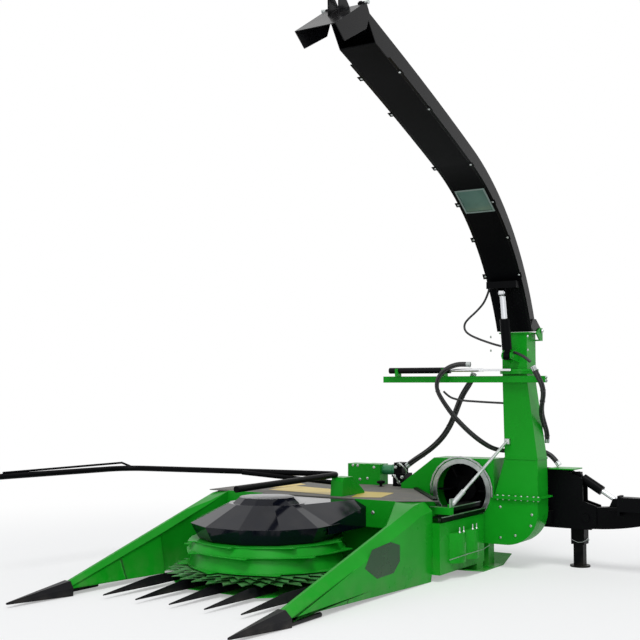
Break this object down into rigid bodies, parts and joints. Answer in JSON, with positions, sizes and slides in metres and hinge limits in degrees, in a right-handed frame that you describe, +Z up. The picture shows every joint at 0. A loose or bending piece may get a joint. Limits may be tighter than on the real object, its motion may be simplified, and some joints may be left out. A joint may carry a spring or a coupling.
{
  "type": "tractor mounted rotary forage harvester",
  "caption": "Rotary maize forage harvester: gathering drum between pointed crop dividers, chopper, tower and tall folding spout, hitch beam and parking leg.",
  "frame": {"origin": "middle of the round skid under the gathering drum, on the floor", "axes": "+X towards the tractor, -Y the driving direction, +Z up"},
  "size_m": [4.5902, 3.4315, 3.5435],
  "materials": {
    "green_paint": "gloss paint",
    "black_paint": "gloss paint",
    "zinc": "zinc plated",
    "steel": "worn",
    "chrome_rod": "polished",
    "window_glass": "clear",
    "motor_paint": "satin paint",
    "hose_rubber": "matt"
  },
  "bodies": {
    "harvester": {"divider_left": "green_paint", "divider_right": "green_paint", "nose_cap_left": "black_paint", "nose_cap_right": "black_paint", "header_pan": "green_paint", "stalk_fingers": "black_paint", "drum_cover": "black_paint", "header_deck": "black_paint", "deck_edge_bar": "black_paint", "header_back": "green_paint", "chopper_housing": "green_paint", "chopper_front": "green_paint", "inlet_ring": "zinc", "feed_channel": "green_paint", "feed_skid": "green_paint", "tower_base": "green_paint", "tower": "green_paint", "cross_bar": "green_paint", "turn_cylinder": "black_paint", "guide_bar": "black_paint", "guide_bracket": "green_paint", "front_panels": "green_paint", "divider_arm": "green_paint", "strut": "zinc", "rear_frame": "black_paint", "rear_plate": "green_paint", "drum_gearbox": "green_paint", "drum_motor": "motor_paint", "valve_block": "black_paint", "valve_hoses": "hose_rubber", "tractor_hoses": "hose_rubber", "tower_hose": "hose_rubber", "tower_hoses": "hose_rubber"},
    "drum": {"gathering_drum": "green_paint", "drum_hooks": "green_paint"},
    "knives": {"knife_rotor": "steel"},
    "wheel": {"chopper_wheel": "steel"},
    "leg": {"parking_leg": "black_paint"},
    "turn_rod": {"turn_rod": "chrome_rod"},
    "spout_base": {"spout_base": "green_paint", "fold_hose": "hose_rubber", "collar_hoses": "hose_rubber"},
    "fold_tube": {"fold_tube": "black_paint"},
    "fold_rod": {"fold_rod": "chrome_rod"},
    "spout": {"spout_back": "black_paint", "spout_side_left": "black_paint", "spout_side_right": "black_paint", "spout_belly": "black_paint", "spout_window": "window_glass", "spout_yoke": "black_paint", "flap_lugs": "black_paint"},
    "flap": {"flap": "black_paint"},
    "flap_tube": {"flap_tube": "black_paint"},
    "flap_rod": {"flap_rod": "chrome_rod"},
    "beam": {"main_beam": "black_paint", "headstock": "black_paint", "pto_gearbox": "black_paint"},
    "pto": {"pto_shaft": "steel"},
    "tilt_tube": {"tilt_tube": "black_paint"},
    "tilt_rod": {"tilt_rod": "chrome_rod"}
  },
  "joints": [
    {"name": "drum_spin", "type": "hinge", "parent": "harvester", "child": "drum", "pos_m": [0, 0, 0.2], "axis": [0, 0, 1], "continuous": true},
    {"name": "knife_spin", "type": "hinge", "parent": "harvester", "child": "knives", "pos_m": [0, 0, 0.12], "axis": [0, 0, 1], "continuous": true},
    {"name": "wheel_spin", "type": "hinge", "parent": "harvester", "child": "wheel", "pos_m": [0.8, 1.5, 0.556], "axis": [0, 1, 0], "continuous": true},
    {"name": "leg_slide", "type": "slide", "parent": "harvester", "child": "leg", "axis": [0, 0, 1], "range_m": [0, 0.15]},
    {"name": "spout_turn", "type": "hinge", "parent": "harvester", "child": "spout_base", "pos_m": [1.232, 1.485, 1.4405], "axis": [0, 0, 1], "range_deg": [-80, 80]},
    {"name": "turn_slide", "type": "slide", "parent": "harvester", "child": "turn_rod", "axis": [1, 0, 0], "range_m": [-0.219, 0.219]},
    {"name": "spout_fold", "type": "hinge", "parent": "spout_base", "child": "spout", "pos_m": [1.232, 1.577, 1.748], "axis": [-1, 0, 0], "range_deg": [0, 40]},
    {"name": "fold_tube_pivot", "type": "hinge", "parent": "spout_base", "child": "fold_tube", "pos_m": [1.232, 1.27, 1.56], "axis": [-1, 0, 0], "range_deg": [-0.1, 25.96]},
    {"name": "fold_slide", "type": "slide", "parent": "fold_tube", "child": "fold_rod", "axis": [0, -0.175, 0.9846], "range_m": [-0.0005, 0.20605]},
    {"name": "flap_pivot", "type": "hinge", "parent": "spout", "child": "flap", "pos_m": [1.232, -0.98712, 3.47017], "axis": [-1, 0, 0], "range_deg": [-15, 40]},
    {"name": "flap_tube_pivot", "type": "hinge", "parent": "spout", "child": "flap_tube", "pos_m": [1.232, -0.55237, 3.352], "axis": [-1, 0, 0], "range_deg": [-3.04, 7.77]},
    {"name": "flap_slide", "type": "slide", "parent": "flap_tube", "child": "flap_rod", "axis": [0, -0.9541, 0.2995], "range_m": [-0.03457, 0.01359]},
    {"name": "beam_tilt", "type": "hinge", "parent": "harvester", "child": "beam", "pos_m": [1.66, 1.725, 0.38], "axis": [0, -1, 0], "range_deg": [-6, 15]},
    {"name": "tilt_tube_pivot", "type": "hinge", "parent": "harvester", "child": "tilt_tube", "pos_m": [1.592, 1.725, 0.684], "axis": [0, -1, 0], "range_deg": [-2.09, 4.94]},
    {"name": "tilt_slide", "type": "slide", "parent": "tilt_tube", "child": "tilt_rod", "axis": [0.8527, 0, -0.5224], "range_m": [-0.06193, 0.02537]},
    {"name": "pto_spin", "type": "hinge", "parent": "beam", "child": "pto", "pos_m": [2.33, 1.6, 0.68], "axis": [0, 1, 0], "continuous": true}
  ],
  "couplings": [
    {"joint": "turn_slide", "follows": "spout_turn", "m_per_rad": 0.156},
    {"joint": "fold_tube_pivot", "follows": "spout_fold", "ratio": 0.64403},
    {"joint": "fold_slide", "follows": "spout_fold", "m_per_rad": 0.29371},
    {"joint": "flap_tube_pivot", "follows": "flap_pivot", "ratio": 0.18914},
    {"joint": "flap_slide", "follows": "flap_pivot", "m_per_rad": -0.04808},
    {"joint": "tilt_tube_pivot", "follows": "beam_tilt", "ratio": 0.31574},
    {"joint": "tilt_slide", "follows": "beam_tilt", "m_per_rad": -0.23273}
  ]
}
